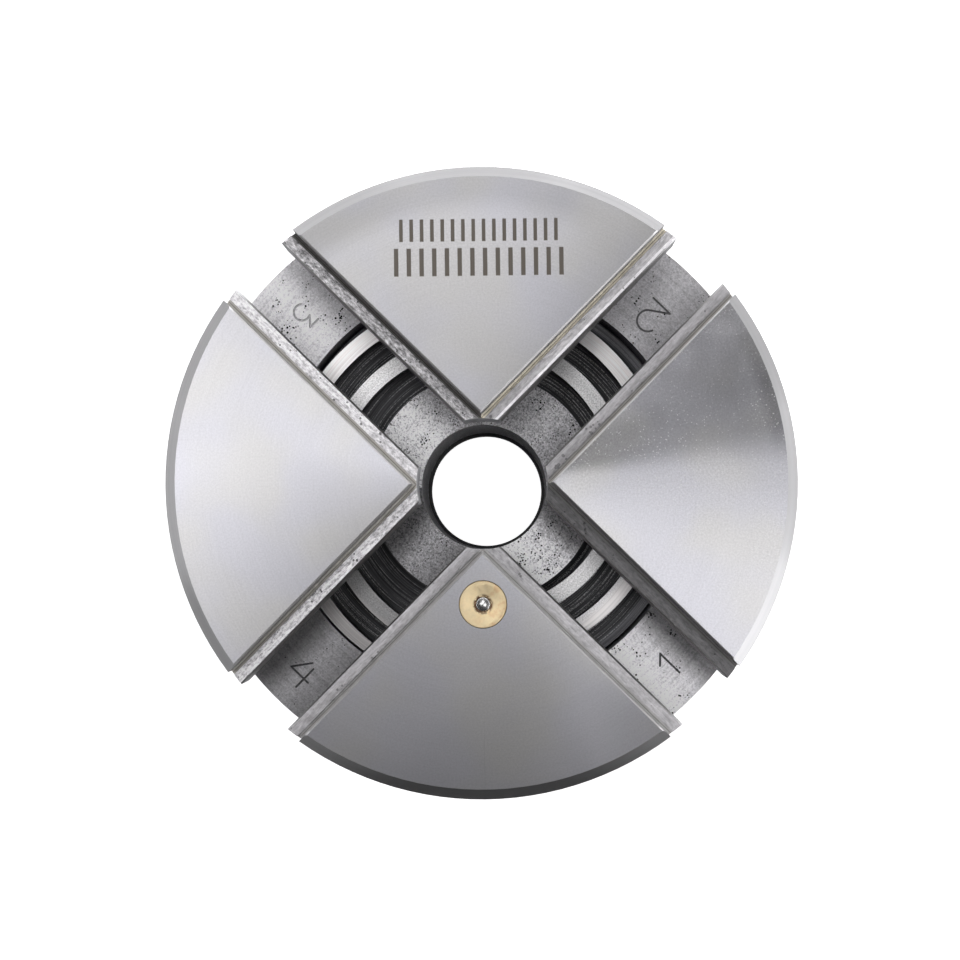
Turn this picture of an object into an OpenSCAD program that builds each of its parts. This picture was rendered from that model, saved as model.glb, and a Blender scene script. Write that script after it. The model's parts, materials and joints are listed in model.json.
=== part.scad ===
// Four-jaw self-centring scroll chuck, 80 mm class, with its jaws taken out.
// Millimetres. Z is the spindle axis, z = 0 is the back face and the jaw face is on top.
// Jaw slot 1 lies at -45 degrees, and the others follow anticlockwise every 90 degrees.

/* [Body] */
// Outside diameter
body_d = 80; // [80:0.5:82]
// Height from the back face to the jaw face
body_h = 50; // [50:0.5:52]
// Diameter of the through bore in the body
bore_d = 16.8; // [16:0.2:17]
// Chamfer round the jaw face
face_chamfer = 1.4; // [0.8:0.1:2]
// Diameter of the register recess
register_d = 55; // [55:0.1:55.2]
// Depth of the register recess
register_depth = 3.5; // [3:0.1:4]
// Diameter of the scroll's chamber, which is cleared a little wider than the register
chamber_d = 55.6; // [55.6:0.1:55.8]

/* [Jaw slots] */
// Number of jaw slots, and of pinions between them
jaw_count = 4; // [4]
// Width of a slot at the jaw face
slot_w = 12.5; // [12:0.1:13]
// Depth of the ledges below the jaw face
ledge_depth = 4.3; // [4:0.1:5]
// Gap between the two guide rails
rail_gap = 8.2; // [8:0.1:8.6]
// Thickness of the guide rails
rail_t = 8; // [7:0.1:9]
// Depth of the slot floor below the jaw face
floor_depth = 20.4; // [20.2:0.1:20.6]
// Width of the relief groove at the foot of each slot wall
relief_w = 0.6; // [0.4:0.1:0.8]
// Depth of that groove below the ledge
relief_d = 0.45; // [0.3:0.05:0.6]
// Broken edges of the slots
slot_edge = 0.2; // [0.1:0.05:0.3]

/* [Scroll] */
// Pitch of the spiral
scroll_pitch = 5.2; // [5:0.1:5.4]
// Width of the spiral ridge
ridge_w = 2.15; // [2:0.05:2.3]
// Height of the spiral ridge above its groove
ridge_h = 4.4; // [4:0.1:4.6]
// Radius of the ridge's middle where it crosses slot 1 for the first time
ridge_r = 17.8; // [17.6:0.05:17.9]
// Angle at which the ridge begins
ridge_start = -75; // [-80:1:-70]
// Angle that the ridge turns through
ridge_sweep = 705; // [700:1:708]
// Teeth of the bevel gear under the scroll
scroll_teeth = 44; // [44]

/* [Pinions] */
// Teeth of each pinion
pinion_teeth = 10; // [10]
// Module of the bevel teeth at their outer end
gear_m = 1.05; // [1.05]
// Diameter of the pinion's journal
journal_d = 14; // [13.8:0.1:14]
// Width across flats of the key socket
socket_w = 6; // [5.5:0.1:6.5]
// Depth of the key socket
socket_depth = 9.5; // [8:0.5:10]

/* [Fastening] */
// Pitch circle of the threaded mounting holes
mount_pcd = 66; // [65:0.5:67]
// Core diameter of the mounting holes
mount_hole_d = 5; // [4.8:0.1:5.2]
// Depth of the mounting holes
mount_hole_depth = 13; // [11:0.5:15]
// Thickness of the rear cover
cover_t = 3.5; // [3.3:0.1:3.6]
// Diameter of the bore in the rear cover
cover_bore_d = 16; // [15.6:0.1:16.2]

/* [Oiler] */
// Diameter of the ball oiler
oiler_d = 6; // [5.8:0.1:6.2]
// Distance of the oiler from the spindle axis
oiler_r = 15.3; // [15.2:0.1:15.8]
// Diameter of the ball
ball_d = 3; // [2.9:0.05:3.1]

/* [Hidden] */
$fn = 96;
eps = 0.01;

body_r = body_d / 2;
bore_r = bore_d / 2;
register_r = register_d / 2;
chamber_r = chamber_d / 2;
back_chamfer = 1;
mouth_chamfer = 0.5;
jaw_step = 360 / jaw_count;
first_slot = -45;
function slot_angle(n) = first_slot + jaw_step * (n - 1);
function pinion_angle(n) = slot_angle(n) + jaw_step / 2;

// Heights
floor_z = body_h - floor_depth;
ledge_z = body_h - ledge_depth;
rail_z = ledge_z - rail_t;
cover_z = register_depth;
hub_z = cover_z + cover_t;
ridge_top = floor_z - 0.2;
groove_z = ridge_top - ridge_h;
chamber_z = floor_z + 0.4;

// Running fits and clearances
run_gap = 0.05;
screw_gap = 0.03;
hub_r = 15.35;
plate_r = register_r - 0.05;

// Bevel gearing: the two cones meet at one point on the spindle axis
wheel_r = gear_m * scroll_teeth / 2;
small_r = gear_m * pinion_teeth / 2;
pinion_cone = atan(pinion_teeth / scroll_teeth);
wheel_cone = 90 - pinion_cone;
cone_length = norm([wheel_r, small_r]);
tooth_root_z = groove_z - 3.2;
pressure = 20;
shift = 0.4;
tip_gap = 0.25;
backlash = 0.16;
pinion_tip = (1 + shift) * gear_m;
pinion_root = -(1 - shift + tip_gap) * gear_m;
wheel_tip = (1 - shift) * gear_m;
wheel_root = -(1 + shift + tip_gap) * gear_m;
root_slope = pinion_cone + atan(-wheel_root / cone_length);
pinion_z = tooth_root_z - wheel_r * tan(root_slope);
flank_steps = 6;
tooth_in = 18.2;
tooth_out = wheel_r;

// Pinion and its retaining screw
journal_r = journal_d / 2;
journal_in = tooth_out + 0.5;
pinion_end = body_r - 0.9;
keeper_r = 34.2;
keeper_w = 3.6;
keeper_depth = 1.4;
keeper_d = 5;
keeper_tip_d = 3.2;

// Cover screws
cover_screw_r = (bore_r + hub_r) / 2;
cover_screw_d = 3;
cover_head_d = 5.6;
cover_head_h = 1.5;
cover_screw_l = 9;

// Ball oiler
oiler_h = 6.2;
lip_d = 2;
lip_t = 0.15;
dish_depth = 0.15;
ball_gap = 0.02;
ball_z = body_h - dish_depth - lip_t - ball_gap - sqrt(pow(ball_d / 2, 2) - pow(lip_d / 2, 2));
spring_wire = 0.3;
spring_coils = 4;
oil_hole_d = 2.2;
oil_hole_r = 16.8;

// Stamped slot numbers
digit_w = 0.28;
digit_depth = 0.3;
digit_r = [34.5, 32.2, 33.45, 35.1];
digit_side = [0.1, -0.15, 0.3, -0.15];

steel = [0.70, 0.71, 0.72];
dark_steel = [0.32, 0.33, 0.35];
brass = [0.85, 0.72, 0.45];

// ---------- Body ----------

// Half of the slot's cross-section, from its floor up to above the jaw face
slot_half = [
    [slot_w / 2, floor_z],
    [slot_w / 2, rail_z],
    [rail_gap / 2, rail_z],
    [rail_gap / 2, ledge_z - slot_edge],
    [rail_gap / 2 + slot_edge, ledge_z],
    [slot_w / 2 - relief_w, ledge_z],
    [slot_w / 2 - relief_w, ledge_z - relief_d],
    [slot_w / 2, ledge_z - relief_d],
    [slot_w / 2, body_h - slot_edge],
    [slot_w / 2 + slot_edge + 1, body_h + 1]
];
slot_outline = concat(slot_half, [for (i = [len(slot_half) - 1:-1:0]) [-slot_half[i].x, slot_half[i].y]]);

module jaw_slot() {
    rotate([90, 0, 90]) linear_extrude(body_r + 1) polygon(slot_outline);
}

module body_blank() {
    rotate_extrude() polygon([
        [register_r + mouth_chamfer, 0], [body_r - back_chamfer, 0],
        [body_r, back_chamfer], [body_r, body_h - face_chamfer],
        [body_r - face_chamfer, body_h], [bore_r, body_h],
        [bore_r, hub_z], [hub_r, hub_z],
        [hub_r, chamber_z], [chamber_r, chamber_z],
        [chamber_r, cover_z], [register_r, cover_z],
        [register_r, mouth_chamfer]
    ]);
}

// A straight tool mark between two points, with round ends
module stroke(p, q) {
    v = q - p;
    translate(p) rotate(atan2(v.y, v.x)) translate([0, -digit_w / 2]) cube([norm(v), digit_w, 1]);
    for (e = [p, q]) translate(e) cylinder(d = digit_w, h = 1, $fn = 24);
}

// A round tool mark
module bow(centre, r, from, to) {
    translate(centre) rotate(from) rotate_extrude(angle = to - from)
        translate([r - digit_w / 2, 0]) square([digit_w, 1]);
}

module digit(n) {
    if (n == 1) {
        stroke([-0.8, 0.6], [0.4, 1.75]);
        stroke([0.4, 1.75], [0.4, -1.9]);
    }
    if (n == 2) {
        bow([0, 0.7], 1.45, -50, 165);
        stroke([0.93, -0.41], [-1.5, -2.05]);
        stroke([-1.5, -2.05], [1.6, -2.05]);
    }
    if (n == 3) {
        stroke([-0.9, 1.6], [0.65, 1.6]);
        stroke([0.65, 1.6], [-0.46, 0.4]);
        bow([0, -0.6], 1.1, -138, 115);
    }
    if (n == 4) {
        stroke([0.2, 1.9], [-1.55, -0.45]);
        stroke([-1.55, -0.45], [1.6, -0.45]);
        stroke([0.85, 1.4], [0.85, -1.95]);
    }
}

module chuck_body() {
    color(steel) difference() {
        body_blank();
        for (n = [1:jaw_count]) rotate(slot_angle(n)) {
            jaw_slot();
            translate([digit_r[n - 1], digit_side[n - 1], floor_z - digit_depth]) rotate(90) digit(n);
            translate([mount_pcd / 2, 0, -1]) cylinder(d = mount_hole_d, h = mount_hole_depth + 1);
            translate([mount_pcd / 2, 0, -eps]) cylinder(d1 = mount_hole_d + 1.2, d2 = mount_hole_d, h = 0.6);
            translate([cover_screw_r, 0, hub_z - 1])
                cylinder(r = cover_screw_d / 2 + screw_gap, h = cover_screw_l - cover_t + 2);
        }
        for (n = [1:jaw_count]) rotate(pinion_angle(n)) {
            translate([chamber_r - 1, 0, pinion_z]) rotate([0, 90, 0])
                cylinder(r = journal_r + run_gap, h = body_r - chamber_r + 2);
            translate([keeper_r, 0, -1]) cylinder(r = keeper_d / 2 + screw_gap, h = pinion_z - journal_r + 2);
        }
        translate([0, -oiler_r, body_h - oiler_h - 2]) cylinder(r = oiler_d / 2 + run_gap, h = oiler_h + 3);
        translate([0, -oil_hole_r, chamber_z - 1]) cylinder(d = oil_hole_d, h = body_h - oiler_h - chamber_z);
    }
}

// ---------- Bevel teeth ----------

// Involute function, in degrees
function inv(a) = tan(a) * 180 / PI - a;

// Half of a tooth's angle about its own gear's axis, at height h above the pitch cone,
// from the involute on the back cone, whose pitch radius is v
function half_tooth(r, v, x, h) =
    ((gear_m * (PI / 2 + 2 * x * tan(pressure)) - backlash / 2) / (2 * v) * 180 / PI
     + inv(pressure) - inv(acos(min(1, v * cos(pressure) / (v + h))))) * v / r;

function flank(lo, hi) = [for (i = [0:flank_steps]) lo + (hi - lo) * i / flank_steps];

// Pinion outline in the plane at distance d from the cones' common point
function pinion_point(h, d, side) =
    let (v = small_r / cos(pinion_cone),
         r = d * (small_r + h * cos(pinion_cone)) / (wheel_r - h * sin(pinion_cone)),
         a = side * half_tooth(small_r, v, shift, h))
    [a, r];
function pinion_outline(d) = [
    for (i = [0:pinion_teeth - 1], side = [-1, 1], k = [0:flank_steps])
        let (hs = flank(pinion_root, pinion_tip),
             p = pinion_point(hs[side < 0 ? k : flank_steps - k], d, side),
             a = p[0] + (i + 0.5) * 360 / pinion_teeth)
        p[1] * [cos(a), sin(a)]
];

// Scroll tooth: its outline on the back cone, as points round the spindle axis
function wheel_point(h, s, side) =
    let (v = wheel_r / cos(wheel_cone),
         r = s * (wheel_r + h * cos(wheel_cone)),
         a = side * half_tooth(wheel_r, v, -shift, h))
    [r * cos(a), r * sin(a), pinion_z + s * (small_r - h * sin(wheel_cone))];
wheel_heights = flank(wheel_root - 0.35, wheel_tip);
function wheel_ring(s) = concat(
    [for (h = wheel_heights) wheel_point(h, s, -1)],
    [for (k = [flank_steps:-1:0]) wheel_point(wheel_heights[k], s, 1)]
);

module wheel_tooth() {
    n = 2 * (flank_steps + 1);
    polyhedron(
        points = concat(wheel_ring(tooth_in / wheel_r), wheel_ring(tooth_out / wheel_r)),
        faces = concat(
            [[for (i = [0:n - 1]) i]],
            [[for (i = [n - 1:-1:0]) n + i]],
            [for (i = [0:n - 1]) [i, n + i, n + (i + 1) % n, (i + 1) % n]]
        )
    );
}

// ---------- Scroll ----------

// The ridge is a run of quarter circles about the four corners of a small square,
// so that each quarter is a quarter of the pitch larger than the one before it
module ridge() {
    quarter_step = scroll_pitch / 4;
    for (k = [0:floor(ridge_sweep / 90)]) {
        from = ridge_start + 90 * k;
        middle = from + 45;
        r = ridge_r + scroll_pitch * (middle - first_slot) / 360;
        rotate(middle + 90) translate([quarter_step / sqrt(2), 0, groove_z - 0.5]) rotate(from - middle - 90)
            rotate_extrude(angle = min(90, ridge_sweep - 90 * k))
                translate([r - ridge_w / 2, 0]) square([ridge_w, ridge_h + 0.5]);
    }
}

module scroll_plate() {
    rim_in = tooth_out + 0.4;
    rim_z = pinion_z + journal_r + 0.35;
    boss_r = 17.3;
    color(steel) union() {
        rotate_extrude() polygon([
            [hub_r + run_gap, hub_z + 0.1], [boss_r, hub_z + 0.1],
            [boss_r, pinion_z + boss_r * tan(root_slope)],
            [rim_in, pinion_z + rim_in * tan(root_slope)], [rim_in, rim_z], [plate_r, rim_z],
            [plate_r, groove_z], [hub_r + run_gap, groove_z]
        ]);
        intersection() {
            ridge();
            cylinder(r = plate_r, h = body_h);
        }
        for (i = [0:scroll_teeth - 1]) rotate(i * 360 / scroll_teeth) wheel_tooth();
    }
}

// ---------- Pinions and their screws ----------

module pinion(n) {
    gear_out = journal_in + 0.1;
    color(dark_steel) rotate(pinion_angle(n)) translate([0, 0, pinion_z]) rotate([0, 90, 0]) difference() {
        union() {
            translate([0, 0, tooth_in]) linear_extrude(height = gear_out - tooth_in, scale = gear_out / tooth_in)
                polygon(pinion_outline(tooth_in));
            rotate_extrude() polygon([
                [0, journal_in], [journal_r, journal_in],
                [journal_r, keeper_r - keeper_w / 2], [journal_r - keeper_depth, keeper_r - keeper_w / 2],
                [journal_r - keeper_depth, keeper_r + keeper_w / 2], [journal_r, keeper_r + keeper_w / 2],
                [journal_r, pinion_end - 0.5], [journal_r - 0.5, pinion_end], [0, pinion_end]
            ]);
        }
        translate([-socket_w / 2, -socket_w / 2, pinion_end - socket_depth])
            cube([socket_w, socket_w, socket_depth + 1]);
        translate([0, 0, pinion_end - 1]) cylinder(d1 = socket_w, d2 = socket_w + 2.4, h = 1 + eps);
    }
}

module pinion_screw(n) {
    shoulder = pinion_z - journal_r - 0.5;
    tip = pinion_z - journal_r + keeper_depth - 0.3;
    color(dark_steel) rotate(pinion_angle(n)) translate([keeper_r, 0, 0]) difference() {
        union() {
            translate([0, 0, 0.8]) cylinder(d = keeper_d, h = shoulder - 0.8);
            translate([0, 0, shoulder - eps]) cylinder(d = keeper_tip_d, h = tip - shoulder + eps);
        }
        cylinder(d = 2.5 / cos(30), h = 3.6, $fn = 6);
    }
}

// ---------- Rear cover ----------

module rear_cover() {
    color(steel) difference() {
        translate([0, 0, cover_z]) cylinder(r = register_r - run_gap, h = cover_t);
        translate([0, 0, cover_z - 1]) cylinder(d = cover_bore_d, h = cover_t + 2);
        for (n = [1:jaw_count]) rotate(slot_angle(n)) translate([cover_screw_r, 0, cover_z]) {
            translate([0, 0, -1]) cylinder(d = cover_screw_d + 0.3, h = cover_t + 2);
            translate([0, 0, -eps])
                cylinder(d1 = cover_head_d + 0.3, d2 = cover_screw_d + 0.3, h = cover_head_h + 0.1);
        }
    }
}

module cover_screw(n) {
    color(dark_steel) rotate(slot_angle(n)) translate([cover_screw_r, 0, cover_z + 0.1]) difference() {
        union() {
            cylinder(d1 = cover_head_d, d2 = cover_screw_d, h = cover_head_h);
            cylinder(d = cover_screw_d, h = cover_screw_l);
        }
        translate([0, 0, -1]) cylinder(d = 2 / cos(30), h = 2.1, $fn = 6);
    }
}

// ---------- Ball oiler ----------

module oiler_body() {
    bottom = body_h - oiler_h;
    well_r = ball_d / 2 + 0.08;
    seat_top = body_h - dish_depth - lip_t;
    color(brass) translate([0, -oiler_r, 0]) rotate_extrude() polygon([
        [0.7, bottom], [oiler_d / 2 - 0.3, bottom], [oiler_d / 2, bottom + 0.3],
        [oiler_d / 2, body_h - 0.1], [oiler_d / 2 - 0.08, body_h - 0.02],
        [oiler_d / 2 - 0.5, body_h - 0.02], [lip_d / 2, body_h - dish_depth],
        [lip_d / 2, seat_top], [well_r, seat_top],
        [well_r, bottom + 0.8], [0.7, bottom + 0.8]
    ]);
}

module oiler_ball() {
    color([0.9, 0.9, 0.92]) translate([0, -oiler_r, ball_z]) sphere(d = ball_d);
}

// The spring's coils, drawn as rings at the pitch of its wire
module oiler_spring() {
    low = body_h - oiler_h + 0.8 + spring_wire / 2 + eps;
    high = ball_z - ball_d / 2 + 0.1;
    color(dark_steel) translate([0, -oiler_r, 0]) for (i = [0:spring_coils - 1])
        translate([0, 0, low + (high - low) * i / (spring_coils - 1)])
            rotate_extrude($fn = 48) translate([1, 0]) circle(d = spring_wire, $fn = 16);
}

chuck_body();
scroll_plate();
pinion(1);  // pinion_1
pinion(2);  // pinion_2
pinion(3);  // pinion_3
pinion(4);  // pinion_4
pinion_screw(1);  // pinion_screw_1
pinion_screw(2);  // pinion_screw_2
pinion_screw(3);  // pinion_screw_3
pinion_screw(4);  // pinion_screw_4
rear_cover();
cover_screw(1);  // cover_screw_1
cover_screw(2);  // cover_screw_2
cover_screw(3);  // cover_screw_3
cover_screw(4);  // cover_screw_4
oiler_body();
oiler_ball();
oiler_spring();
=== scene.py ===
"""Lathe chuck: camera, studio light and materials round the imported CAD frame. Metres; Z is the spindle axis."""
import json
import math

import bpy
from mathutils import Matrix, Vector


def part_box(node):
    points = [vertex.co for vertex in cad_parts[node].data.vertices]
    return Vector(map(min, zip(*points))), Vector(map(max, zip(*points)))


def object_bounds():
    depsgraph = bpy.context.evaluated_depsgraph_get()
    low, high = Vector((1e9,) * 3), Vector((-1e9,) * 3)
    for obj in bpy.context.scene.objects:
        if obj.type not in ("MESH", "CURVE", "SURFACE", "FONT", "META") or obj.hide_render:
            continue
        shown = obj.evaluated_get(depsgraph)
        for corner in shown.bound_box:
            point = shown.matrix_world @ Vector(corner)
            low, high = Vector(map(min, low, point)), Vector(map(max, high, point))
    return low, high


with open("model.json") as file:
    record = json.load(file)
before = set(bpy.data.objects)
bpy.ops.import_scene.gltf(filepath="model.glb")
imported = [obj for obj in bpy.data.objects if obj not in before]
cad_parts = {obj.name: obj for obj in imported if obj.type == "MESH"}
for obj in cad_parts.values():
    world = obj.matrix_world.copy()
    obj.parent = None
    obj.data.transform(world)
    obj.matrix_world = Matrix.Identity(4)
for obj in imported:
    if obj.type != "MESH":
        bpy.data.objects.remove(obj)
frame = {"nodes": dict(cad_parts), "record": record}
cad_low, cad_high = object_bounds()

# Sizes of the chuck in millimetres, which the materials also work in
MM = 0.001
BODY_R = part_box("chuck_body")[1].x / MM
BODY_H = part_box("chuck_body")[1].z / MM
SCROLL_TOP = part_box("scroll_plate")[1].z / MM
BALL_LOW, BALL_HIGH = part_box("oiler_ball")
OILER_R = -(BALL_LOW.y + BALL_HIGH.y) / 2 / MM
SLOT_HALF, GROOVE_DEPTH, FLOOR_DEPTH = 6.25, 4.5, 20.4
FLOOR_Z = BODY_H - FLOOR_DEPTH
BORE_R, HUB_R, CHAMBER_R, COVER_BORE_R = 8.4, 15.5, 27.8, 8.0
HOLE_R, HOLE_DEPTH, HOLE_XY, THREAD_PITCH = 2.5, 13.0, 33 * math.sqrt(0.5), 1.0
BALL_HOLE_R = 1.0
# The last pair is the band of the ledges' painted highlight, in millimetres off the slot's middle.
LEDGE_DEPTHS, FLOOR_DEPTHS, PAINTED_HIGHLIGHT_EDGE = (3.0, 6.0), (19.0, 21.5), (3.9, 4.62)
# Each row of the marking: middle, height, half length and spacing of its strokes
MARK_ROWS = ((31.8, 2.8, 10.2, 1.3), (27.8, 3.5, 11.1, 1.6))

# Colours
FACE_COLD, FACE_WARM = (0.60, 0.595, 0.64), (0.61, 0.60, 0.605)
ETCHED, DUST = (0.23, 0.205, 0.18), (0.74, 0.74, 0.75)
LEDGE, FLOOR, WALL, SIDE = (0.62, 0.605, 0.625), (0.79, 0.775, 0.805), (0.46, 0.45, 0.455), (0.57, 0.565, 0.58)
LINE_GREY, LINE_CREAM = (0.53, 0.52, 0.52), (0.66, 0.61, 0.51)
# The relief groove's grey and brown are painted shade under the lip.
GROOVE_SHADE_GREY, GROOVE_SHADE_BROWN = (0.32, 0.31, 0.30), (0.26, 0.23, 0.18)
# The bore and chamber are painted pale: painted light standing in for light that hardly reaches inside them.
BORE_PAINTED_LIGHT, CHAMBER_PAINTED_LIGHT = (0.84, 0.84, 0.87), (0.62, 0.62, 0.64)
RIDGE_INNER, RIDGE_OUTER = (0.82, 0.81, 0.82), (0.84, 0.81, 0.81)
OIL, SCRATCH = (0.060, 0.060, 0.065), (0.60, 0.60, 0.61)
COVER, COVER_INSIDE_DARK = (0.52, 0.52, 0.53), (0.06, 0.06, 0.062)
# The oiler's dark ring colour is painted shade round the ball's hole
BRASS, TARNISH, BALL_HOLE_SHADE, CHROME = (1.0, 0.81, 0.51), (0.84, 0.60, 0.34), (0.16, 0.08, 0.04), (0.95, 0.94, 0.94)

# How each slot, 1 to 4, is worn, with the painted light and shade of each ledge and relief groove and the painted
# highlight on some ledges' edges; a ledge belongs to the side quadrants or to the top and bottom ones
LEDGE_TORN_SIDE, LEDGE_TORN_TOP = (0.3, 0.3, 0.8, 1.0), (0.35, 0.4, 1.3, 0.3)
LEDGE_PAINTED_LIGHT_SIDE, LEDGE_PAINTED_LIGHT_TOP = (0.22, 0.80, 1.50, 1.52), (0.78, 0.96, 1.08, 0.94)
GROOVE_CREAM_SIDE, GROOVE_CREAM_TOP = (0.0, 0.2, 0.3, 0.4), (0.0, 1.0, 0.2, 0.0)
GROOVE_PAINTED_LIGHT_SIDE, GROOVE_PAINTED_LIGHT_TOP = (0.3, 0.9, 1.0, 1.0), (0.85, 1.35, 0.25, 0.85)
PAINTED_HIGHLIGHT_SIDE, PAINTED_HIGHLIGHT_TOP = (0.0, 0.0, 0.2, 0.3), (0.1, 1.0, 0.1, 0.0)
# Painted light and shade on each slot's floor: in its middle, and towards its clockwise and anticlockwise walls
FLOOR_PAINTED_LIGHT_MIDDLE = (1.1, 1.0, 1.28, 0.88)
FLOOR_PAINTED_LIGHT_CLOCKWISE, FLOOR_PAINTED_LIGHT_ANTICLOCKWISE = (1.4, 0.7, 0.85, 0.32), (0.32, 1.0, 1.15, 0.55)
FLOOR_PITS = (0.50, 0.42, 0.48, 0.30)
# Painted shade in each slot's stamped digits
DIGIT_PAINTED_SHADE = (0.12, 0.30, 0.62, 0.20)
# Painted light on the scroll's ridge tops, slot by slot
RIDGE_PAINTED_LIGHT = (0.95, 1.2, 1.2, 0.58)
# Direction of the tool marks on the ledges
LEDGE_MARKS = math.radians(60)


# ---------- Camera ----------

def add_camera():
    """Looks down the spindle axis from a little to one side of it."""
    lens = bpy.data.cameras.new("camera")
    lens.lens, lens.sensor_width = 82.6, 36
    lens.shift_x, lens.shift_y = -0.0396, 0.0646
    lens.clip_start, lens.clip_end = 0.01, 20
    off_x, off_y, height = 0.0045, -0.0075, 0.277
    camera = bpy.data.objects.new("camera", lens)
    camera.location = (off_x, off_y, cad_high.z + height)
    camera.rotation_euler = (0, 0, math.radians(-0.7))
    bpy.context.scene.collection.objects.link(camera)
    bpy.context.scene.camera = camera


# ---------- Node graphs ----------

class Graph:
    """A material's node tree, with short calls for the nodes that the finishes below share."""

    def __init__(self, name):
        self.material = bpy.data.materials.new(name)
        self.material.use_nodes = True
        self.tree = self.material.node_tree
        self.tree.nodes.clear()
        self.out = self.tree.nodes.new("ShaderNodeOutputMaterial")
        self.shader = self.tree.nodes.new("ShaderNodeBsdfPrincipled")
        self.tree.links.new(self.shader.outputs["BSDF"], self.out.inputs["Surface"])
        coords = self.tree.nodes.new("ShaderNodeTexCoord")
        self.where = self.vector("SCALE", coords.outputs["Object"], scale=1 / MM)
        self.x, self.y, self.z = self.split(self.where)
        self.normal = coords.outputs["Normal"]
        self.up = self.split(self.normal)[2]
        self.radius = self.length(self.x, self.y)

    def put(self, socket, value):
        if isinstance(value, bpy.types.NodeSocket):
            self.tree.links.new(value, socket)
        elif isinstance(value, (tuple, list)) and len(value) == 3 and socket.type == "RGBA":
            socket.default_value = (*value, 1)
        else:
            socket.default_value = value

    def math(self, operation, a, b=0.0, c=0.0, clamp=False):
        node = self.tree.nodes.new("ShaderNodeMath")
        node.operation, node.use_clamp = operation, clamp
        for socket, value in zip(node.inputs, (a, b, c)):
            self.put(socket, value)
        return node.outputs[0]

    def times(self, *values):
        product = values[0]
        for value in values[1:]:
            product = self.math("MULTIPLY", product, value)
        return product

    def minus(self, a, b):
        return self.math("SUBTRACT", a, b)

    def size(self, value):
        return self.math("ABSOLUTE", value)

    def length(self, x, y):
        return self.math("SQRT", self.math("ADD", self.times(x, x), self.times(y, y)))

    def vector(self, operation, a, b=None, scale=None):
        node = self.tree.nodes.new("ShaderNodeVectorMath")
        node.operation = operation
        self.put(node.inputs[0], a)
        if b is not None:
            self.put(node.inputs[1], b)
        if scale is not None:
            self.put(node.inputs["Scale"], scale)
        return node.outputs[0]

    def split(self, vector):
        node = self.tree.nodes.new("ShaderNodeSeparateXYZ")
        self.put(node.inputs[0], vector)
        return node.outputs

    def join(self, x, y, z):
        node = self.tree.nodes.new("ShaderNodeCombineXYZ")
        for socket, value in zip(node.inputs, (x, y, z)):
            self.put(socket, value)
        return node.outputs[0]

    def step(self, value, low, high, start=0.0, end=1.0):
        """Rises smoothly from start to end as value goes from low to high."""
        node = self.tree.nodes.new("ShaderNodeMapRange")
        node.interpolation_type = "SMOOTHSTEP"
        for socket, given in zip(node.inputs, (value, low, high, start, end)):
            self.put(socket, given)
        return node.outputs[0]

    def scale(self, value, low, high, start, end):
        """Goes straight from start to end as value goes from low to high, and stays there."""
        node = self.tree.nodes.new("ShaderNodeMapRange")
        for socket, given in zip(node.inputs, (value, low, high, start, end)):
            self.put(socket, given)
        return node.outputs[0]

    def above(self, value):
        """One where value is above zero, nothing where it's below."""
        return self.step(value, -0.001, 0.001)

    def below(self, value):
        return self.step(value, -0.001, 0.001, 1.0, 0.0)

    def vary(self, noise, start, end):
        """From start to end over the range that a noise covers."""
        return self.scale(noise, 0.3, 0.7, start, end)

    def band(self, value, low, high, soft=0.05):
        """One between low and high, nothing outside."""
        return self.times(self.step(value, low - soft, low + soft),
                         self.step(value, high - soft, high + soft, 1.0, 0.0))

    def noise(self, vector, scale, detail=2.0, rough=0.5, seed=0.0):
        node = self.tree.nodes.new("ShaderNodeTexNoise")
        node.noise_dimensions = "4D"
        self.put(node.inputs["Vector"], vector)
        self.put(node.inputs["W"], seed)
        self.put(node.inputs["Scale"], scale)
        self.put(node.inputs["Detail"], detail)
        self.put(node.inputs["Roughness"], rough)
        return node.outputs[0]

    def cells(self, vector, scale, seed=0.0):
        """Distance to the nearest of a scatter of points, in cells."""
        node = self.tree.nodes.new("ShaderNodeTexVoronoi")
        node.voronoi_dimensions = "4D"
        self.put(node.inputs["Vector"], vector)
        self.put(node.inputs["W"], seed)
        self.put(node.inputs["Scale"], scale)
        return node.outputs["Distance"]

    def mix(self, factor, a, b):
        node = self.tree.nodes.new("ShaderNodeMix")
        node.data_type = "RGBA"
        self.put(node.inputs[0], factor)
        self.put(node.inputs[6], a)
        self.put(node.inputs[7], b)
        return node.outputs[2]

    def blend(self, factor, a, b):
        node = self.tree.nodes.new("ShaderNodeMix")
        node.data_type = "FLOAT"
        self.put(node.inputs[0], factor)
        self.put(node.inputs[2], a)
        self.put(node.inputs[3], b)
        return node.outputs[0]

    def by_slot(self, one, two, three, four):
        """One number for each jaw slot, by the quarter of the chuck that it lies in."""
        right, back = self.above(self.x), self.above(self.y)
        return self.blend(right, self.blend(back, four, three), self.blend(back, one, two))

    def shade(self, colour, amount):
        """Colour times a number."""
        return self.vector("SCALE", colour, scale=amount)

    def bump(self, height, strength, distance=0.05):
        """Relief of height (0 to 1) times distance, in millimetres."""
        node = self.tree.nodes.new("ShaderNodeBump")
        self.put(node.inputs["Strength"], strength)
        self.put(node.inputs["Distance"], distance * MM)
        self.put(node.inputs["Height"], height)
        return node.outputs[0]

    def tangent_about_axis(self):
        node = self.tree.nodes.new("ShaderNodeTangent")
        node.direction_type, node.axis = "RADIAL", "Z"
        return node.outputs[0]

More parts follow.
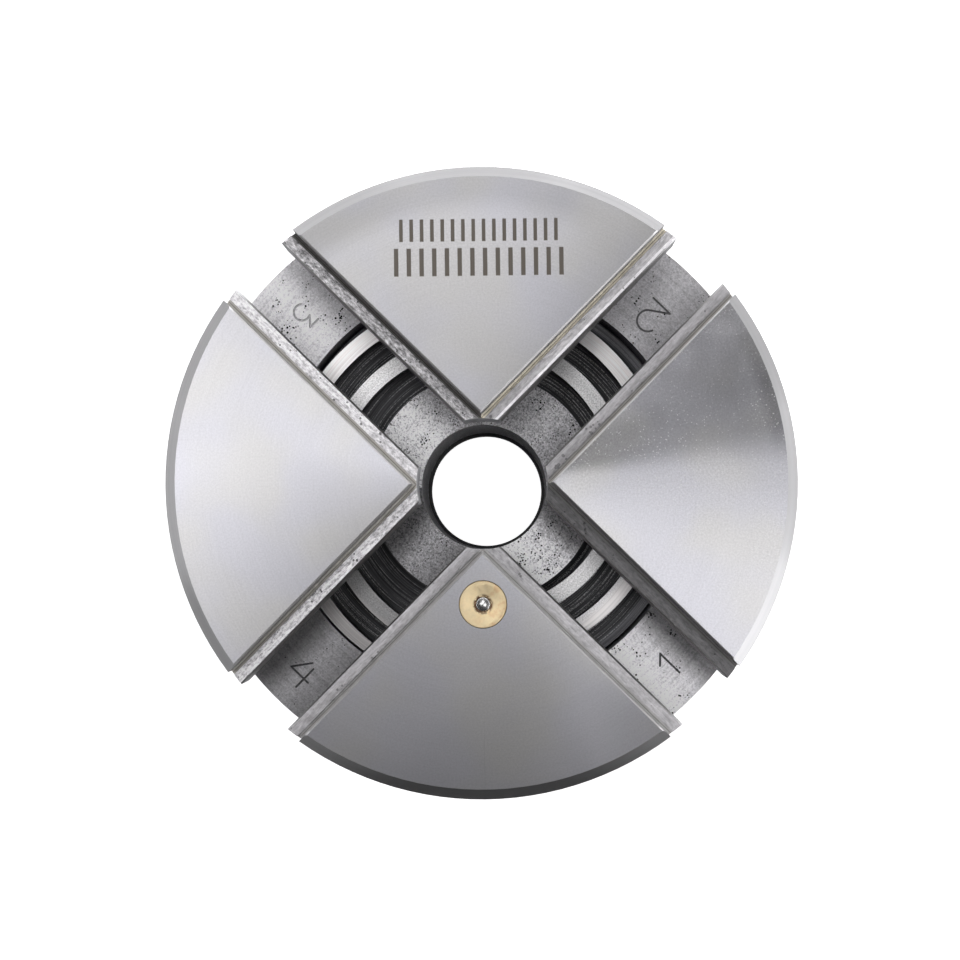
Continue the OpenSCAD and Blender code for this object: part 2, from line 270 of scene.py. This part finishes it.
    def finish(self, colour, rough, metal=1.0, normal=None, anisotropic=0.0, tangent=None):
        self.put(self.shader.inputs["Base Color"], colour)
        self.put(self.shader.inputs["Roughness"], rough)
        self.put(self.shader.inputs["Metallic"], metal)
        if normal is not None:
            self.put(self.shader.inputs["Normal"], normal)
        if anisotropic:
            self.shader.inputs["Anisotropic"].default_value = anisotropic
            self.shader.inputs["Anisotropic Rotation"].default_value = 0.25
            self.put(self.shader.inputs["Tangent"], tangent or self.tangent_about_axis())
        return self.material


def turning_lines(g, per_mm, seed=0.0):
    """Fine rings left by a turning tool: noise along the radius, barely changing round the axis."""
    rings = g.join(g.times(g.radius, per_mm), g.math("DIVIDE", g.x, g.radius), g.math("DIVIDE", g.y, g.radius))
    return g.noise(rings, 1.0, 3.0, 0.6, g.math("MULTIPLY_ADD", g.z, per_mm, seed))


# ---------- The body's finish ----------

class Body(Graph):
    """Adds distances along and across the slot that a point lies nearest to, and a mask for each kind of surface."""

    def __init__(self):
        super().__init__("body_iron")
        diagonal = self.times(self.math("ADD", self.x, self.y), math.sqrt(0.5))
        other = self.times(self.minus(self.x, self.y), math.sqrt(0.5))
        odd = self.below(self.times(self.x, self.y))
        self.along = self.blend(odd, diagonal, other)
        self.across = self.blend(odd, other, diagonal)
        self.off_slot = self.size(self.across)
        # The same distance, counted anticlockwise of the slot's middle
        clockwise = self.above(self.times(self.along, self.blend(odd, 1.0, -1.0)))
        self.side = self.times(self.across, self.blend(clockwise, 1.0, -1.0))
        self.depth = self.minus(BODY_H, self.z)

        upwards = self.step(self.up, 0.9, 0.95)
        upright = self.step(self.size(self.up), 0.3, 0.4, 1.0, 0.0)
        self.face = self.times(upwards, self.step(self.depth, 0.05, 0.15, 1.0, 0.0))
        self.ledge = self.times(upwards, self.band(self.depth, *LEDGE_DEPTHS))
        self.floor = self.times(upwards, self.band(self.depth, *FLOOR_DEPTHS))
        self.outside = self.step(self.radius, BODY_R - 2.2, BODY_R - 1.8)
        self.bore = self.times(upright, self.step(self.radius, BORE_R + 0.2, BORE_R + 0.3, 1.0, 0.0))
        self.chamber = self.times(self.band(self.z, 3.0, FLOOR_Z - 0.05, 0.02),
                                  self.step(self.radius, CHAMBER_R + 0.1, CHAMBER_R + 0.2, 1.0, 0.0))

        self.rings = turning_lines(self, 9.0)
        self.grain = self.noise(self.where, 4.5, 3.0, 0.7, 7.0)
        self.mill = self.noise(self.join(self.times(self.along, 0.35), self.times(self.across, 6.0),
                                         self.times(self.z, 6.0)), 1.0, 3.0, 0.6)

    def pits(self, per_mm, size, seed, crowding):
        """Little round holes where the casting is open, crowded together in some places and missing in others."""
        near = self.cells(self.where, per_mm, seed)
        limit = self.scale(self.noise(self.where, crowding, 2.0, 0.5, seed), 0.42, 0.68, 0.0, size)
        return self.step(self.minus(near, limit), -0.03, 0.03, 1.0, 0.0)

    def by_ledge(self, side, top):
        """One number for each ledge: side for those against the left and right quadrants, top for the other two."""
        nearer = self.above(self.minus(self.size(self.x), self.size(self.y)))
        return self.blend(nearer, self.by_slot(*top), self.by_slot(*side))

    def marking(self):
        """Two rows of plain etched strokes on the quadrant opposite the oiler."""
        rows = []
        for middle, tall, half, every in MARK_ROWS:
            phase = self.math("PINGPONG", self.x, every / 2)
            bars = self.step(phase, 0.31 * every, 0.35 * every)
            row = self.band(self.y, middle - tall / 2, middle + tall / 2, 0.06)
            rows.append(self.times(bars, row, self.band(self.x, -half, half, 0.06)))
        return self.times(self.face, self.math("ADD", *rows, clamp=True))

    def threads(self):
        """Mask of the four mounting holes, and helical waves in them, one for each turn of the thread."""
        u = self.minus(self.x, self.times(self.math("SIGN", self.x), HOLE_XY))
        v = self.minus(self.y, self.times(self.math("SIGN", self.y), HOLE_XY))
        inside = self.times(self.step(self.length(u, v), HOLE_R + 0.1, HOLE_R + 0.2, 1.0, 0.0),
                            self.step(self.z, HOLE_DEPTH, HOLE_DEPTH + 0.5, 1.0, 0.0))
        lead = self.math("ADD", self.times(self.z, math.tau / THREAD_PITCH), self.math("ARCTAN2", v, u))
        return inside, self.math("SINE", lead)

    def face_finish(self):
        """Satin jaw face, warm in places and cold in others, dusty on the right quadrant's upper part, with painted
        light and shade across the quadrants.

        Gives its colour, roughness, relief and dust.
        """
        upper_lower = self.above(self.minus(self.size(self.y), self.size(self.x)))
        bottom = self.times(upper_lower, self.below(self.y))
        top = self.minus(upper_lower, bottom)
        right = self.times(self.minus(1.0, upper_lower), self.above(self.x))
        left = self.minus(self.minus(1.0, upper_lower), right)
        slope = self.math("DIVIDE", self.y, self.x)
        fine = self.noise(self.where, 4.0, 3.0, 0.7, 8.0)
        cloud = self.noise(self.where, 0.08, 2.0, 0.5, 1.0)
        patchy = self.scale(self.noise(self.where, 0.14, 2.0, 0.5, 11.0), 0.35, 0.6, 0.45, 1.0)
        dusty = self.times(right, patchy, self.step(slope, -0.35, 0.25, 0.35, 1.0))

        tone = self.math("ADD", self.vary(self.rings, 0.96, 1.03), self.vary(cloud, -0.03, 0.03))
        mottle = self.times(self.vary(fine, -0.09, 0.09), self.math("MULTIPLY_ADD", dusty, 1.6, 1.0))
        tone = self.math("ADD", tone, mottle)
        # Painted shade: a dark fan across the right quadrant's upper part from the hub, darker still at the rim.
        painted_dark_fan = self.times(right, self.step(slope, 0.04, 0.20), self.step(slope, 0.3, 0.6, 1.0, 0.3))
        painted_dark_fan_rim = self.times(painted_dark_fan, self.step(self.radius, 36.0, 38.0))
        # Darker towards the rim of the top quadrant.
        darker_top_rim = self.times(top, self.step(self.radius, 33.0, 37.0),
                              self.math("MAXIMUM", self.step(slope, 1.5, 3.5), self.step(self.x, 0.0, 1.0, 1.0, 0.0)))
        # Painted light and shade: the left quadrant's lower part lighter outwards, a painted shade patch on the bottom
        # quadrant's right, the bottom quadrant darker outwards, the right quadrant darker outwards.
        painted_light_lower_left = self.blend(self.step(slope, -0.25, 0.0), 1.0, self.scale(self.radius, 18.0, 38.0, 0.92, 1.10))
        painted_shade_patch = self.times(self.step(slope, -2.5, -1.2, 0.0, 0.3), self.step(self.x, -0.1, 0.1),
                            self.step(self.radius, 24.0, 36.0))
        painted_shade_outwards = self.minus(self.scale(self.radius, 10.0, 39.0, 1.26, 0.72), painted_shade_patch)
        for where, change in ((painted_dark_fan, self.scale(self.radius, 18.0, 32.0, 0.54, 0.64)),
                              (right, self.scale(self.radius, 16.0, 38.0, 1.06, 0.93)),
                              (left, painted_light_lower_left), (bottom, painted_shade_outwards), (darker_top_rim, 0.77), (painted_dark_fan_rim, 0.72)):
            tone = self.times(tone, self.blend(where, 1.0, change))

        tint = self.step(self.noise(self.where, 0.10, 1.0, 0.5, 4.0), 0.35, 0.65)
        mark = self.marking()
        specks = self.step(self.cells(self.where, 3.3, 9.0), 0.21, 0.33, 1.0, 0.0)
        dust = self.times(specks, dusty, self.face)
        colour = self.mix(mark, self.shade(self.mix(tint, FACE_COLD, FACE_WARM), tone), ETCHED)
        relief = self.math("MULTIPLY_ADD", mark, -0.5,
                           self.math("MULTIPLY_ADD", self.rings, 0.02, self.times(dusty, fine)))
        return self.mix(dust, colour, DUST), self.math("MULTIPLY_ADD", mark, 0.25, 0.28), relief, dust

    def ledge_finish(self):
        """Ledges torn and shiny, each with its own painted light and shade, a painted highlight along some inner
        edges, and a relief groove along the wall in painted shade.

        Gives their colour, roughness and relief.
        """
        flakes = self.noise(self.join(self.times(self.along, 1.5), self.times(self.across, 3.2), self.z),
                            1.0, 5.0, 0.75, 5.0)
        torn = self.by_ledge(LEDGE_TORN_SIDE, LEDGE_TORN_TOP)
        tone = self.math("ADD", self.math("MULTIPLY_ADD", self.scale(flakes, 0.36, 0.64, -0.6, 0.35), torn, 1.0),
                         self.vary(self.mill, -0.16, 0.16))
        # Painted light and shade: each ledge gets its own brightness.
        tone = self.times(tone, self.by_ledge(LEDGE_PAINTED_LIGHT_SIDE, LEDGE_PAINTED_LIGHT_TOP),
                          self.step(self.radius, 12.0, 19.0, 0.84, 1.0))
        # Painted highlight along the inner edge of some ledges.
        edge = self.times(self.band(self.off_slot, *PAINTED_HIGHLIGHT_EDGE), self.by_ledge(PAINTED_HIGHLIGHT_SIDE, PAINTED_HIGHLIGHT_TOP))
        tone = self.math("MULTIPLY_ADD", edge, 0.6, tone)
        near_hub = self.step(self.radius, 14.0, 18.0, 1.5, 1.0)
        pits = self.times(self.pits(1.8, self.times(near_hub, 0.36), 3.0, 0.35), self.blend(torn, 0.4, 1.0))
        colour = self.shade(LEDGE, self.times(tone, self.blend(pits, 1.0, 0.25)))

        groove = self.times(self.step(self.off_slot, SLOT_HALF - 0.65, SLOT_HALF - 0.55),
                            self.step(self.depth, GROOVE_DEPTH, GROOVE_DEPTH + 0.1))
        line = self.band(self.off_slot, SLOT_HALF - 0.36, SLOT_HALF - 0.22, 0.04)
        # The relief groove is painted dark as shade under the lip, and lighter or darker on each ledge as painted
        # light and shade.
        creamy = self.by_ledge(GROOVE_CREAM_SIDE, GROOVE_CREAM_TOP)
        groove_colour = self.mix(line, self.mix(creamy, LINE_GREY, LINE_CREAM),
                                 self.mix(creamy, GROOVE_SHADE_GREY, GROOVE_SHADE_BROWN))
        groove_colour = self.shade(groove_colour, self.by_ledge(GROOVE_PAINTED_LIGHT_SIDE, GROOVE_PAINTED_LIGHT_TOP))
        return (self.mix(groove, colour, groove_colour), self.scale(flakes, 0.35, 0.65, 0.50, 0.32),
                self.minus(self.times(flakes, torn, 2.0), pits))

    def floor_finish(self):
        """Slot floors open-grained and pitted, with painted light in each slot, painted shade towards some walls and
        stamped numbers darkened by painted shade.

        Gives their colour, roughness and relief.
        """
        hub = self.step(self.radius, HUB_R, HUB_R + 1.0, 1.0, 0.0)
        pits = self.math("MAXIMUM", self.pits(2.8, self.by_slot(*FLOOR_PITS), 2.0, 0.45),
                         self.times(self.pits(4.2, 0.42, 6.0, 0.5), hub))
        speckle = self.times(self.scale(self.grain, 0.32, 0.68, -0.42, 0.38), self.blend(hub, 0.7, 1.6))
        streak = self.vary(turning_lines(self, 4.0, 5.0), -0.14, 0.14)
        # Painted light and shade: each floor lighter or darker in its middle and towards each wall, slot by slot.
        clockwise = self.blend(self.scale(self.side, -3.4, -0.4, 0.0, 1.0),
                               self.by_slot(*FLOOR_PAINTED_LIGHT_CLOCKWISE), self.by_slot(*FLOOR_PAINTED_LIGHT_MIDDLE))
        painted_wall_shade = self.blend(self.scale(self.side, 0.4, 3.4, 0.0, 1.0), clockwise, self.by_slot(*FLOOR_PAINTED_LIGHT_ANTICLOCKWISE))
        # Painted shade in the stamped numbers, slot by slot.
        stamped = self.step(self.depth, FLOOR_DEPTH + 0.1, FLOOR_DEPTH + 0.2)
        tone = self.times(self.math("ADD", self.math("ADD", 1.0, speckle), streak), self.blend(pits, painted_wall_shade, 0.08),
                          self.blend(stamped, 1.0, self.by_slot(*DIGIT_PAINTED_SHADE)))
        return self.shade(FLOOR, tone), self.blend(pits, 0.50, 0.9), self.minus(self.times(self.grain, 1.2), pits)

    def rim_lines_and_painted_shade(self):
        """The turned rim's lines, with painted shade: darker on its lower edge and a little darker towards the upper
        right.
        """
        away = self.math("ADD", self.times(self.x, 0.5), self.times(self.y, 0.866))
        return self.times(self.vary(turning_lines(self, 2.0, 3.0), 0.94, 1.03),
                          self.step(self.y, -38.5, -32.0, 0.38, 1.0), self.scale(away, 0.0, 18.0, 1.0, 0.82))


def body_iron():
    g = Body()
    face_colour, face_rough, face_relief, dust = g.face_finish()
    ledge_colour, ledge_rough, ledge_relief = g.ledge_finish()
    floor_colour, floor_rough, floor_relief = g.floor_finish()

    colour = g.mix(g.outside, g.shade(WALL, g.vary(g.mill, 0.8, 1.1)), g.shade(SIDE, g.rim_lines_and_painted_shade()))
    for where, paint in ((g.floor, floor_colour), (g.ledge, ledge_colour), (g.face, face_colour),
                         (g.bore, g.shade(BORE_PAINTED_LIGHT, g.vary(g.rings, 0.85, 1.15))),
                         (g.chamber, g.shade(CHAMBER_PAINTED_LIGHT, g.vary(g.grain, 0.4, 1.4)))):
        colour = g.mix(where, colour, paint)
    rough = g.blend(g.outside, 0.42, 0.30)
    for where, value in ((g.floor, floor_rough), (g.ledge, ledge_rough), (g.face, face_rough), (g.bore, 0.6)):
        rough = g.blend(where, rough, value)
    metal = g.times(g.minus(1.0, dust), g.blend(g.math("MAXIMUM", g.bore, g.chamber), 1.0, 0.1))
    relief = g.times(g.rings, 0.10)
    threaded, thread = g.threads()
    for where, height in ((g.face, face_relief), (g.floor, floor_relief), (g.ledge, ledge_relief),
                          (threaded, g.times(thread, 6.0))):
        relief = g.blend(where, relief, height)
    tangent = g.mix(g.ledge, g.tangent_about_axis(), (math.cos(LEDGE_MARKS), math.sin(LEDGE_MARKS), 0))
    return g.finish(colour, rough, metal, g.bump(relief, 0.5, 0.05), 0.75, tangent)


# ---------- The other finishes ----------

def plain_steel(name, colour, rough, lines=6.0, anisotropic=0.5):
    g = Graph(name)
    rings = turning_lines(g, lines)
    smear = g.noise(g.where, 0.7, 3.0, 0.6, 4.0)
    tone = g.times(g.vary(rings, 0.85, 1.1), g.vary(smear, 0.85, 1.1))
    return g.finish(g.shade(colour, tone), g.vary(smear, rough - 0.06, rough + 0.08), 1.0,
                    g.bump(rings, 0.3, 0.02), anisotropic)


def cover_steel():
    """Turned and bright behind, but nearly black in its bore and inside the chuck."""
    g = Graph("cover_steel")
    rings = turning_lines(g, 5.0)
    in_bore = g.step(g.radius, COVER_BORE_R + 0.05, COVER_BORE_R + 0.15, 1.0, 0.0)
    inside = g.math("MAXIMUM", g.step(g.up, 0.5, 0.6), in_bore)
    colour = g.mix(inside, g.shade(COVER, g.vary(rings, 0.85, 1.1)), COVER_INSIDE_DARK)
    return g.finish(colour, g.blend(inside, 0.32, 0.5), 1.0, g.bump(rings, 0.3, 0.02), 0.5)


def scroll_steel():
    """Bright worn ridges, turned outside and chattered inside, with painted light on their tops slot by slot, over
    dark oiled and scratched grooves with painted light towards the outside.
    """
    g = Graph("scroll_steel")
    top = g.times(g.step(g.up, 0.9, 0.95), g.step(g.z, SCROLL_TOP - 0.3, SCROLL_TOP - 0.1))
    rings = turning_lines(g, 7.0)
    torn = g.noise(g.where, 5.0, 3.0, 0.75, 6.0)
    chatter = g.times(g.scale(torn, 0.35, 0.65, 0.55, 1.2), g.vary(turning_lines(g, 4.0, 9.0), 0.85, 1.1))
    ridge = g.mix(g.step(g.radius, 22.0, 23.0), g.shade(RIDGE_INNER, chatter),
                  g.shade(RIDGE_OUTER, g.vary(turning_lines(g, 5.0, 2.0), 0.78, 1.15)))
    scratch = g.times(g.step(turning_lines(g, 6.0, 8.0), 0.53, 0.62), g.step(torn, 0.42, 0.56))
    # Painted light: the groove is lighter towards the outside, where the chamber's wall shades it.
    painted_light_outer = g.step(g.radius, 26.0, 26.6, 1.0, 3.5)
    groove = g.mix(scratch, g.shade(OIL, g.times(painted_light_outer, g.vary(rings, 0.4, 2.3))), SCRATCH)
    # Painted light on the ridge tops, slot by slot.
    colour = g.mix(top, groove, g.shade(ridge, g.by_slot(*RIDGE_PAINTED_LIGHT)))
    return g.finish(colour, g.blend(top, 0.5, 0.36), g.blend(top, 0.5, 1.0),
                    g.bump(g.blend(top, rings, torn), 0.3, 0.03), 0.5)


def chrome():
    g = Graph("ball_chrome")
    return g.finish(g.shade(CHROME, g.vary(g.noise(g.where, 3.0), 0.85, 1.0)), 0.27, 0.95)


def brass():
    """Golden and worn, tarnished on its right, with painted shade round the ball's hole."""
    g = Graph("oiler_brass")
    worn = g.noise(g.where, 1.6, 4.0, 0.65)
    smudge = g.times(g.step(g.noise(g.where, 0.9, 3.0, 0.6, 3.0), 0.46, 0.66), g.step(g.x, -2.0, 1.5, 0.2, 1.0))
    colour = g.mix(smudge, g.shade(BRASS, g.vary(worn, 0.86, 1.0)), TARNISH)
    from_ball = g.length(g.x, g.math("ADD", g.y, OILER_R))
    # Painted shade: a dark ring round the ball's hole, where the ball sits below the lip.
    painted_shade_ring = g.times(g.step(from_ball, BALL_HOLE_R + 0.05, BALL_HOLE_R + 0.4, 1.0, 0.0),
                    g.step(g.noise(g.where, 2.2, 3.0, 0.6, 9.0), 0.40, 0.52))
    return g.finish(g.mix(painted_shade_ring, colour, BALL_HOLE_SHADE), g.vary(worn, 0.28, 0.42), 0.7, g.bump(worn, 0.4, 0.06))


def dress(finishes):
    """Gives every CAD node the material of its slot in the record."""
    slots = {part["node"]: part["material_slot"] for part in frame["record"]["subparts"]}
    for name, node in frame["nodes"].items():
        material = finishes[slots[name]]
        node.data.materials.clear()
        node.data.materials.append(material)


# ---------- Studio ----------

def add_world(strength):
    """White behind the chuck, with little light of its own."""
    world = bpy.data.worlds.new("studio")
    bpy.context.scene.world = world
    world.use_nodes = True
    tree = world.node_tree
    tree.nodes.clear()
    out = tree.nodes.new("ShaderNodeOutputWorld")
    seen, lit, mixed = (tree.nodes.new("ShaderNodeBackground"), tree.nodes.new("ShaderNodeBackground"),
                        tree.nodes.new("ShaderNodeMixShader"))
    path = tree.nodes.new("ShaderNodeLightPath")
    seen.inputs["Color"].default_value = (1, 1, 1, 1)
    lit.inputs["Color"].default_value = (1, 1, 1, 1)
    lit.inputs["Strength"].default_value = strength
    tree.links.new(path.outputs["Is Camera Ray"], mixed.inputs[0])
    tree.links.new(lit.outputs[0], mixed.inputs[1])
    tree.links.new(seen.outputs[0], mixed.inputs[2])
    tree.links.new(mixed.outputs[0], out.inputs["Surface"])


def add_floor():
    """A pale floor, which shows as plain white."""
    mesh = bpy.data.meshes.new("floor")
    half = 2.0
    mesh.from_pydata([(-half, -half, 0), (half, -half, 0), (half, half, 0), (-half, half, 0)], [], [(0, 1, 2, 3)])
    floor = bpy.data.objects.new("floor", mesh)
    bpy.context.scene.collection.objects.link(floor)
    material = bpy.data.materials.new("floor")
    material.use_nodes = True
    tree = material.node_tree
    shader = tree.nodes["Principled BSDF"]
    shader.inputs["Base Color"].default_value = (0.8, 0.8, 0.8, 1)
    shader.inputs["Emission Color"].default_value = (1, 1, 1, 1)
    shader.inputs["Roughness"].default_value = 0.8
    path = tree.nodes.new("ShaderNodeLightPath")
    tree.links.new(path.outputs["Is Camera Ray"], shader.inputs["Emission Strength"])
    mesh.materials.append(material)


def add_lamp(name, azimuth, elevation, size, power):
    """A soft square lamp that looks at the chuck from a direction given in degrees."""
    light = bpy.data.lights.new(name, "AREA")
    light.size, light.energy = size, power
    lamp = bpy.data.objects.new(name, light)
    a, e = math.radians(azimuth), math.radians(elevation)
    lamp.location = (LAMP_DISTANCE * math.cos(e) * math.cos(a), LAMP_DISTANCE * math.cos(e) * math.sin(a),
                     cad_high.z + LAMP_DISTANCE * math.sin(e))
    lamp.rotation_euler = (0, math.radians(90) - e, a)
    bpy.context.scene.collection.objects.link(lamp)


LAMP_DISTANCE = 0.9
# High lamps, which make the fans of light on the jaw face: name, azimuth, elevation, size, power
FACE_LAMPS = (
    ("key", 180, 78, 0.25, 0.264),
    ("key_back", 120, 78, 0.25, 0.061),
    ("fan_left_1", 150, 70, 0.3, 0.227),
    ("fan_left_2", 165, 70, 0.3, 0.2),
    ("fan_right_1", 330, 70, 0.3, 0.5),
    ("fan_right_2", 345, 70, 0.3, 0.44),
    ("back", 90, 70, 0.3, 0.397),
    ("back_low", 90, 60, 0.35, 0.39),
)
# Low lamps, which light the chamfer, the ledges and the rim: azimuth, power
RIM_LAMPS = ((0, 1.85), (30, 1.4), (60, 2.2), (90, 2.15), (120, 1.9), (150, 0.85), (180, 0.9), (210, 0.35), (330, 2.5))
RIM_ELEVATION, RIM_SIZE = 8, 0.5

add_camera()
add_floor()
add_world(0.02)
for lamp in FACE_LAMPS:
    add_lamp(*lamp)
for azimuth, power in RIM_LAMPS:
    add_lamp(f"rim_{azimuth}", azimuth, RIM_ELEVATION, RIM_SIZE, power)
dress({
    "body_iron": body_iron(),
    "scroll_steel": scroll_steel(),
    "pinion_steel": plain_steel("pinion_steel", (0.20, 0.20, 0.21), 0.35),
    "screw_steel": plain_steel("screw_steel", (0.10, 0.10, 0.105), 0.4),
    "cover_steel": cover_steel(),
    "oiler_brass": brass(),
    "ball_chrome": chrome(),
    "spring_wire": plain_steel("spring_wire", (0.45, 0.45, 0.46), 0.3, anisotropic=0.0),
})
bpy.context.scene.view_settings.view_transform = "Standard"
